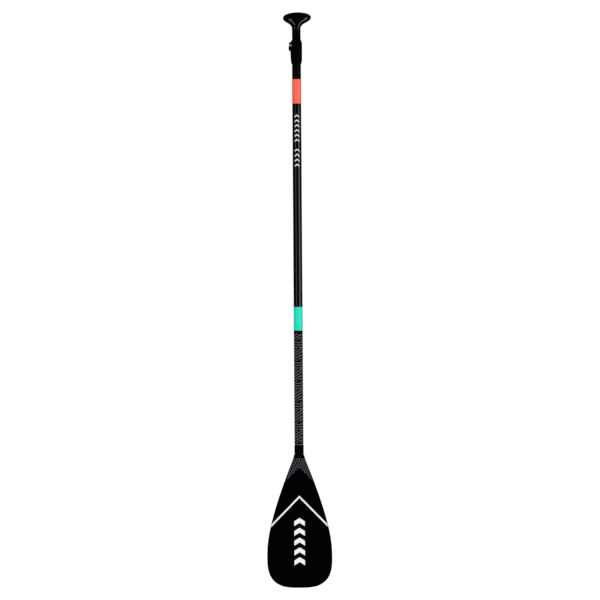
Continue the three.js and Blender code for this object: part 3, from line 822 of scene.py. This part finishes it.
def cam_saddle():
    low, high = levels("cam_saddle")
    outline = rounded([(low.x, low.z), (high.x, low.z), (high.x, high.z), (low.x, high.z)], 1.2)
    verts, faces = slab(outline, low.y, high.y, 0.18)
    return cut(raw((verts[:, [0, 2, 1]], faces)), bolt_way(BOLT_R + CLEAR, 0, 20))


WASHER_R = 4.3
washer_front, washer_back = extent("bolt_washer", 1)
washer = tube(WASHER_R, BOLT_R + CLEAR, washer_front, washer_back, 0.15)
piece("collar_moulding", clamp_collar(), "shaft", CLAMP, ["clamp_collar"])
piece("lever_arm", clamp_lever(), "lever", LEVER, ["clamp_lever"])
piece("socket_bolt", clamp_bolt(), "tension_bolt", ZINC, ["clamp_bolt"])
piece("bolt_washer_ring", across(washer, BOLT_X, BOLT_Z), "shaft", BLACKENED,
      ["bolt_washer"])
piece("barrel_pin", lever_pin(), "shaft", DULL_STEEL, ["lever_pin"])
piece("saddle_plate", cam_saddle(), "shaft", DULL_STEEL, ["cam_saddle"])

# ---- shaft ---------------------------------------------------------------


BUTTON_HOLE_R = 4.8


def button_way():
    return across(drill(BUTTON_HOLE_R, -20, 0), 0, BUTTON_Z)


mid_shaft = cut(raw(tube(SHAFT_R, SHAFT_BORE, MID_LOW, MID_HIGH, rows=16)), button_way())
piece("mid_shaft_tube", mid_shaft, "shaft", GLOSS, ["mid_shaft"])

WRAP_THICK = 0.2
WRAP_R = SHAFT_R + GLUE_LINE + WRAP_THICK
teal = cut(raw(tube(WRAP_R, SHAFT_R + GLUE_LINE, *TEAL, edge=0.09, rows=6)), button_way())
piece("coral_wrap_band", tube(WRAP_R, SHAFT_R + GLUE_LINE, *CORAL, edge=0.09, rows=4),
      "shaft", CORAL_WRAP, ["coral_band"])
piece("teal_wrap_band", teal, "shaft", TEAL_WRAP, ["teal_band"])

ferrule = tube(FERRULE_R, FERRULE_BORE, FERRULE_LOW, FERRULE_HIGH, 0.6, rows=6)
ferrule = cut(raw(ferrule), button_way())
piece("ferrule_sleeve", ferrule, "blade_section", SLEEVE, ["ferrule"])
piece("lower_shaft_tube", tube(SHAFT_R, SHAFT_BORE, LOWER_LOW, LOWER_HIGH, rows=12),
      "blade_section", HATCHED, ["lower_shaft"])


def leaf_spring():
    """A strip folded into a narrow V: one leg carries the button, the other bears on the wall."""
    low, high = levels("button_spring")
    strip, fold_r, fold_y = 0.6, 3.3, 0.6
    bend = np.linspace(math.pi, 2 * math.pi, 28)
    outline = [(low.y, high.z)]
    fold_z = low.z + fold_r
    outline += [(fold_y + fold_r * math.cos(a), fold_z + fold_r * math.sin(a)) for a in bend]
    outline += [(high.y, high.z), (high.y - strip, high.z)]
    fold_r -= strip
    outline += [(fold_y + fold_r * math.cos(a), fold_z + fold_r * math.sin(a))
                for a in bend[::-1]]
    outline += [(low.y + strip, high.z)]
    verts, faces = slab(outline, low.x, high.x, 0.12)
    return np.column_stack([verts[:, 2], verts[:, 0], verts[:, 1]]), faces


spring = piece("folded_leaf_spring", leaf_spring(), "blade_section", DULL_STEEL,
               ["button_spring"])
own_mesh(spring)

# the button's side as radius and distance forward of the axis: a domed crown, a shank and a flange
side = rounded([(0.6, BUTTON_OUT), (2.6, BUTTON_OUT - 0.25), (4.1, BUTTON_OUT - 1.3),
                (4.1, 8.8), (5.4, 8.8), (5.4, 7.8), (0.6, 7.8)], 0.6, closed=False)
piece("snap_button", across(turned([(r, -y) for r, y in side], sides=64), 0, BUTTON_Z),
      "button", BUTTON, ["push_button"])

# ---- blade ---------------------------------------------------------------

BLADE_RAKE = math.tan(math.radians(10))
BEND_LENGTH = 30
BLADE_NECK_TOP = LOWER_LOW
BLADE_NECK_TALL = 28.1
THROAT = BLADE_NECK_TOP - BLADE_NECK_TALL
BLADE_NECK_R = 14.6
RAIL_WIDTH = 6
SKIN = 1
HAIRLINE = 0.15
LIP = 1.3
LIP_FRONT, LIP_BACK = 0.15, 0.7
TONGUE_LONG = 150
TONGUE_POWER = 0.6
EDGE_HALF = 2.6
CAMBER = 1.4
RIDGE = 9
RIDGE_HALF_WIDTH = 24
RIDGE_LENGTH = 230
THROAT_BLEND = 60
LENGTH = THROAT - TIP

FLANK = bezier((14.9, 0), (16.73, 6), (18.57, 12), (20.4, 18), 10)
SHOULDER = bezier((20.4, 18), (103.4, 225.5), (101.8, 283), (101.8, 328.2), 94)[1:]
TOE = bezier((101.8, 328.2), (101.8, 388.2), (76.9, 401.2), (59.1, 409.8), 60)[1:]
TIP_ROUND = bezier((59.1, 409.8), (50.1, 414.2), (28, LENGTH), (14, LENGTH), 30)[1:]
OUTLINE = np.vstack([FLANK, SHOULDER, TOE, TIP_ROUND])


def centre_y(z):
    """The blade's centre plane: in line with the shaft at the neck, then raked forward."""
    below = np.maximum(0, BLADE_NECK_TOP - z)
    return -BLADE_RAKE * (np.hypot(below, BEND_LENGTH) - BEND_LENGTH)


def half_thickness(x, drop):
    """Round at the throat, then a thin plate with a ridge that fades out."""
    share = np.minimum(1, np.abs(x) / np.interp(drop, OUTLINE[:, 1], OUTLINE[:, 0]))
    dome = 1 - share * share
    round_half = np.maximum(0.8, BLADE_NECK_R * np.sqrt(dome))
    fade = np.maximum(0, 1 - drop / RIDGE_LENGTH) ** 2
    ridge = np.maximum(0, 1 - (x / RIDGE_HALF_WIDTH) ** 2) ** 2
    plate = EDGE_HALF + CAMBER * dome + RIDGE * fade * ridge
    t = np.clip(drop / THROAT_BLEND, 0, 1)
    return round_half + (plate - round_half) * t * t * (3 - 2 * t)


def outward():
    """The outline's outward normals, with a mitre at the corner of the tip's flat end."""
    along = np.gradient(OUTLINE, axis=0)
    normals = np.column_stack([along[:, 1], -along[:, 0]])
    normals /= np.linalg.norm(normals, axis=1)[:, None]
    normals[0] = (1, 0)
    mitre = normals[-1] + (0, 1)
    normals[-1] = mitre / mitre[1]
    return normals


NORMALS = outward()


def edge_round(inset):
    """How much of its half thickness the blade keeps at a distance in from its edge."""
    t = np.clip(inset / EDGE_HALF, 0, 1)
    return np.maximum(0.12, np.sqrt(np.maximum(0, 1 - (1 - t) ** 2)))


def blade_rail():
    """The rail down one flank, across the tip and up the other, with a full round edge."""
    insets = np.array([0, 0.12, 0.4, 0.85, 1.4, 2.0, 2.7, 3.6, 4.8, RAIL_WIDTH])

    def section(point, normal, side):
        x = side * (point[0] - normal[0] * insets)
        drop = point[1] - normal[1] * insets
        z = THROAT - drop
        half = half_thickness(x, drop) * edge_round(insets)
        # a lip under each skin closes the seam
        lip = half_thickness(x[-1], drop[-1]) - SKIN - np.array([LIP_FRONT, LIP_BACK])
        half = np.concatenate([half, [lip[0], lip[0], lip[1], lip[1]]])
        walls = insets[-1] + np.array([0, LIP, LIP, 0])
        x = np.concatenate([x, side * (point[0] - normal[0] * walls)])
        z = np.concatenate([z, THROAT - point[1] + normal[1] * walls])
        front = np.column_stack([x, centre_y(z) - half, z])
        back = np.column_stack([x, centre_y(z) + half, z])
        return np.vstack([front[::-1], back])

    left = [section(p, n, -1) for p, n in zip(OUTLINE, NORMALS)]
    right = [section(p, n, 1) for p, n in zip(OUTLINE, NORMALS)][::-1]
    flat = OUTLINE[-1, 0]
    tip = [section((x, LENGTH), (0, 1), 1) for x in np.linspace(-flat, flat, 14)[1:-1]]
    return skin([*left, *tip, *right])


def blade_skin(side):
    """One face of the blade inside the rail, a millimetre thick, with a hairline chamfer."""
    margin = RAIL_WIDTH + SEAM
    inner = OUTLINE - NORMALS * margin
    drops = np.concatenate([np.linspace(0, 330, 120), np.linspace(330, LENGTH - margin, 60)[1:]])
    keep = inner[:, 1] <= LENGTH - margin + 1e-6
    widths = np.interp(drops, inner[keep, 1], inner[keep, 0])
    share = np.linspace(-1, 1, 91)
    share = signed_power(share, 1.15)
    share = np.concatenate([[-1, -0.994], share[1:-1], [0.994, 1]])
    x = widths[:, None] * share[None, :]
    drop = np.repeat(drops[:, None], share.size, 1)
    z = THROAT - drop
    half = half_thickness(x, drop)
    outer = half.copy()
    for edge in (np.s_[0, :], np.s_[-1, :], np.s_[:, 0], np.s_[:, -1]):
        outer[edge] -= HAIRLINE
    grids = [np.column_stack([x.ravel(), (centre_y(z) + side * depth).ravel(), z.ravel()])
             for depth in (outer, half - SKIN)]
    return closed_sheet(*grids, share.size)


def blade_neck():
    """The hollow spigot, the round collar and the tongue that runs down inside the core."""
    seat, foot = BLADE_NECK_TOP - SEAM, THROAT + SEAM
    spigot_top = seat + 60

    def round_at(radius, z):
        return ring(radius, z) + np.array([0, float(centre_y(np.array(z))), 0])

    rings = [round_at(9.5, seat + 5), round_at(9.5, spigot_top - 0.4), round_at(9.9, spigot_top),
             round_at(11.7, spigot_top), round_at(12.1, spigot_top - 0.4), round_at(12.1, seat),
             round_at(14.0, seat), round_at(14.45, seat - 0.2), round_at(BLADE_NECK_R, seat - 0.8)]
    rings += [round_at(BLADE_NECK_R, z) for z in np.linspace(seat - 2, foot + 0.5, 18)]
    rings.append(round_at(BLADE_NECK_R - 0.4, foot))
    angles = around(SIDES)
    across_x = signed_power(np.sin(angles), TONGUE_POWER)
    across_y = signed_power(np.cos(angles), TONGUE_POWER)
    for t in np.linspace(0, 1, 16):
        z = THROAT - SEAM - TONGUE_LONG * t if t else foot
        half_width, half_depth = 8 - 3 * t, 8 - 6 * t
        y = float(centre_y(np.array(z)))
        rings.append(np.column_stack(
            [half_width * across_x, y - half_depth * across_y, np.full(SIDES, z)]))
    return skin(rings)


piece("neck_socket", blade_neck(), "blade_section", NECK, ["blade_neck"])
piece("blade_front_face", blade_skin(-1), "blade_section", BLADE,
      ["blade_front_skin"])
piece("blade_back_face", blade_skin(1), "blade_section", BLADE, ["blade_back_skin"])
piece("blade_rail_edge", blade_rail(), "blade_section", RAIL, ["blade_edge_rail"])

# ---- prints: thin films on the shaft and the blade -----------------------


FILM_SINK = 0.02


def film(u, v, place, thick):
    """A closed film over a grid of surface places (u, v): place gives a point at a height."""
    grids = [np.column_stack([c.ravel() for c in place(u, v, height)])
             for height in (thick, -FILM_SINK)]
    return closed_sheet(*grids, u.shape[1])


def on_tube(radius):
    def place(arc, z, height):
        angle = arc / radius
        return (radius + height) * np.sin(angle), -(radius + height) * np.cos(angle), z
    return place


def on_blade(side):
    def place(x, z, height):
        drop = THROAT - z
        width = np.interp(drop, OUTLINE[:, 1], OUTLINE[:, 0])
        half = half_thickness(x, drop) * edge_round((width - np.abs(x)) * 0.94) + height
        return x, centre_y(z) + side * half, z
    return place


def chevron(half_width, top, fall, thick, place, film_thick, columns, rows=3):
    """A bent bar, highest at its middle, whose arms fall by fall for each millimetre outwards."""
    u = np.linspace(-1, 1, columns)[None, :] * np.full((rows, 1), float(half_width))
    v = top - fall * np.abs(u) - thick * np.linspace(0, 1, rows)[:, None]
    return film(u, v, place, film_thick)


# rows of small chevrons below the coral band: the gap above each row, its pitch and its count
MARK_ROWS = ((34.5, 15.2, 6), (31.0, 15.6, 4))
MARK_HALF, MARK_FALL, MARK_THICK = 7.4, 0.72, 3.9


def shaft_marks():
    place = on_tube(SHAFT_R)
    tops = [CORAL[0]]
    for gap, pitch, count in MARK_ROWS:
        tops += [tops[-1] - gap - pitch * i for i in range(count)]
    return merged(*[chevron(MARK_HALF, top, MARK_FALL, MARK_THICK, place, 0.06, 17)
                    for top in tops[1:]])


STRIPE_TOP = -1351.2
STRIPE_FALL = 1.02
STRIPE_TALL = 7.3
STRIPE_SHORT = 0.35
BLADE_FILM = 0.12


def blade_stripe(side):
    """The white chevron stripe from edge to edge, highest on the blade's centre line."""
    rows, columns = 5, 81
    u = np.zeros((rows, columns))
    v = np.zeros((rows, columns))
    for i, share in enumerate(np.linspace(0, 1, rows)):
        top = STRIPE_TOP - STRIPE_TALL * share
        half = np.linspace(0, 110, 1101)
        drop = THROAT - (top - STRIPE_FALL * half)
        inside = half < np.interp(drop, OUTLINE[:, 1], OUTLINE[:, 0]) - STRIPE_SHORT
        end = half[np.argmin(inside)]
        u[i] = np.linspace(-end, end, columns)
        v[i] = top - STRIPE_FALL * np.abs(u[i])
    return film(u, v, on_blade(side), BLADE_FILM)


BADGE_TOP, BADGE_PITCH = -1421.0, 30.5
BADGE_HALF, BADGE_FALL, BADGE_THICK = 16.5, 0.62, 15.0


def blade_mark():
    """A column of plain nested chevrons down the middle of the blade's face."""
    place = on_blade(-1)
    return merged(*[chevron(BADGE_HALF, BADGE_TOP - BADGE_PITCH * i, BADGE_FALL, BADGE_THICK,
                            place, BLADE_FILM, 25, 9) for i in range(5)])


TICK_PITCH = 20


def reach_ticks():
    """Ticks every 20 mm down the telescoping tube, each fifth one longer."""
    place = on_tube(HANDLE_R)
    shells = []
    for i, z in enumerate(np.arange(30, -370, -TICK_PITCH)):
        half = 2.5 if i % 5 else 4.5
        u, v = np.meshgrid(np.linspace(-half, half, 9), np.array([z, z - 1.0]))
        shells.append(film(u, v, place, 0.05))
    return merged(*shells)


piece("shaft_print_chevrons", shaft_marks(), "shaft", WHITE_PRINT)
piece("reach_tick_print", reach_ticks(), "handle", WHITE_PRINT)
piece("blade_stripe_front", blade_stripe(-1), "blade_section", WHITE_PRINT)
piece("blade_stripe_back", blade_stripe(1), "blade_section", WHITE_PRINT)
piece("blade_chevron_print", blade_mark(), "blade_section", WHITE_PRINT)

# ---- carried-over CAD nodes, all inside the tubes or the blade -----------

CARRIED = {
    "handle_tube_plug": NECK, "guide_bush": SLEEVE, "mid_shaft_plug": FOAM,
    "lower_shaft_plug": FOAM, "blade_core": FOAM,
}
for node, material in CARRIED.items():
    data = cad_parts[node].data
    data.materials.clear()
    data.materials.append(material)

# ---- floor, light and camera ---------------------------------------------

# the paddle hangs clear of the floor, so that its blade section can be drawn off downwards
HANGS_CLEAR = 0.13
FLOOR_R = 40
floor_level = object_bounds()[0].z - HANGS_CLEAR
ground = bmesh.new()
bmesh.ops.create_circle(ground, cap_ends=True, segments=96, radius=FLOOR_R)
floor_mesh = bpy.data.meshes.new("studio_floor")
ground.to_mesh(floor_mesh)
ground.free()
floor = bpy.data.objects.new("studio_floor", floor_mesh)
floor.location = (0, 0, floor_level)
bpy.context.scene.collection.objects.link(floor)
pale = Finish("pale_floor")
shade = pale.noise(900, detail=2.0)
floor_mesh.materials.append(pale.set(
    Base_Color=pale.mix(shade, (0.28, 0.28, 0.28), (0.31, 0.31, 0.31)),
    Emission_Color=(1.0, 1.0, 1.0), Emission_Strength=0.74, Roughness=0.9, Specular_IOR_Level=0.0))
floor.visible_glossy = floor.visible_diffuse = False

world = bpy.data.worlds.new("studio")
bpy.context.scene.world = world
world.use_nodes = True
# the studio shows differently to diffuse and glossy rays, so it is sampled by those rays alone
world.cycles.sampling_method = "NONE"
studio = Wiring(world.node_tree)
backdrop = studio.tree.nodes["Background"]
path = studio.node("ShaderNodeLightPath").outputs
toward = studio.separate(studio.node("ShaderNodeTexCoord").outputs["Generated"])
angle = studio.azimuth(toward[0], toward[1], math.degrees(1))
height = studio.product(studio.math("ARCSINE", toward[2]), math.degrees(1))

# soft light all round, stronger from the front right, from the rear and from above
KEY = math.radians(15)
ALL_ROUND, FROM_FRONT, FROM_REAR, FROM_ABOVE = 0.32, 0.9, 0.35, 0.9
facing = studio.total(studio.product(toward[0], math.sin(KEY)),
                      studio.product(toward[1], -math.cos(KEY)))
soft = studio.total(ALL_ROUND,
                    studio.product(studio.math("MAXIMUM", facing, 0.0), FROM_FRONT),
                    studio.product(studio.math("MINIMUM", facing, 0.0), -FROM_REAR),
                    studio.product(studio.math("MAXIMUM", toward[2], 0.0), FROM_ABOVE))

# what shines in glossy surfaces: soft panels on a dark studio, as azimuth, elevation, half width,
# half height, softness (all in degrees) and radiance
PANELS = (
    (53, 0, 11, 8, 9, 1.1), (-39, 0, 3, 8, 4, 0.93), (166, 0, 8, 8, 8, 0.2),
    (-162, 0, 8, 8, 8, 0.2), (61, -34, 5, 20, 6, 2.5), (-36, -12, 3, 4, 5, 1.8),
    (-10, -52, 6, 15, 7, 2.0),
)
DARK_STUDIO = 0.008
shine = DARK_STUDIO
for azimuth, elevation, half_width, half_height, softness, radiance in PANELS:
    off = studio.math("ABSOLUTE", studio.math("SUBTRACT", angle, float(azimuth)))
    over = studio.math("ABSOLUTE", studio.math("SUBTRACT", height, float(elevation)))
    shine = studio.total(shine, studio.product(
        studio.step(off, half_width + softness, half_width),
        studio.step(over, half_height + softness, half_height), radiance))

light = studio.mix(path["Is Diffuse Ray"], shine, soft)
studio.feed(backdrop.inputs["Color"], studio.mix(path["Is Camera Ray"], light, (1.0, 1.0, 1.0)))

bpy.context.scene.view_settings.view_transform = "Standard"

FRAME_HEIGHT = 1.87902
LEAN = math.radians(0.384)
LENS = 600
SENSOR = 36
AIM_X, AIM_Z = 0.0061, -0.7392
camera = bpy.data.cameras.new("camera")
camera.lens = LENS
camera.sensor_width = SENSOR
camera.clip_end = 200
reach = FRAME_HEIGHT / SENSOR * LENS
eye = bpy.data.objects.new("camera", camera)
right = Vector((math.cos(LEAN), 0, -math.sin(LEAN)))
up = Vector((math.sin(LEAN), 0, math.cos(LEAN)))
back = right.cross(up)
eye.matrix_world = Matrix((
    (right.x, up.x, back.x, AIM_X), (right.y, up.y, back.y, -reach),
    (right.z, up.z, back.z, AIM_Z), (0, 0, 0, 1)))
bpy.context.scene.collection.objects.link(eye)
bpy.context.scene.camera = eye
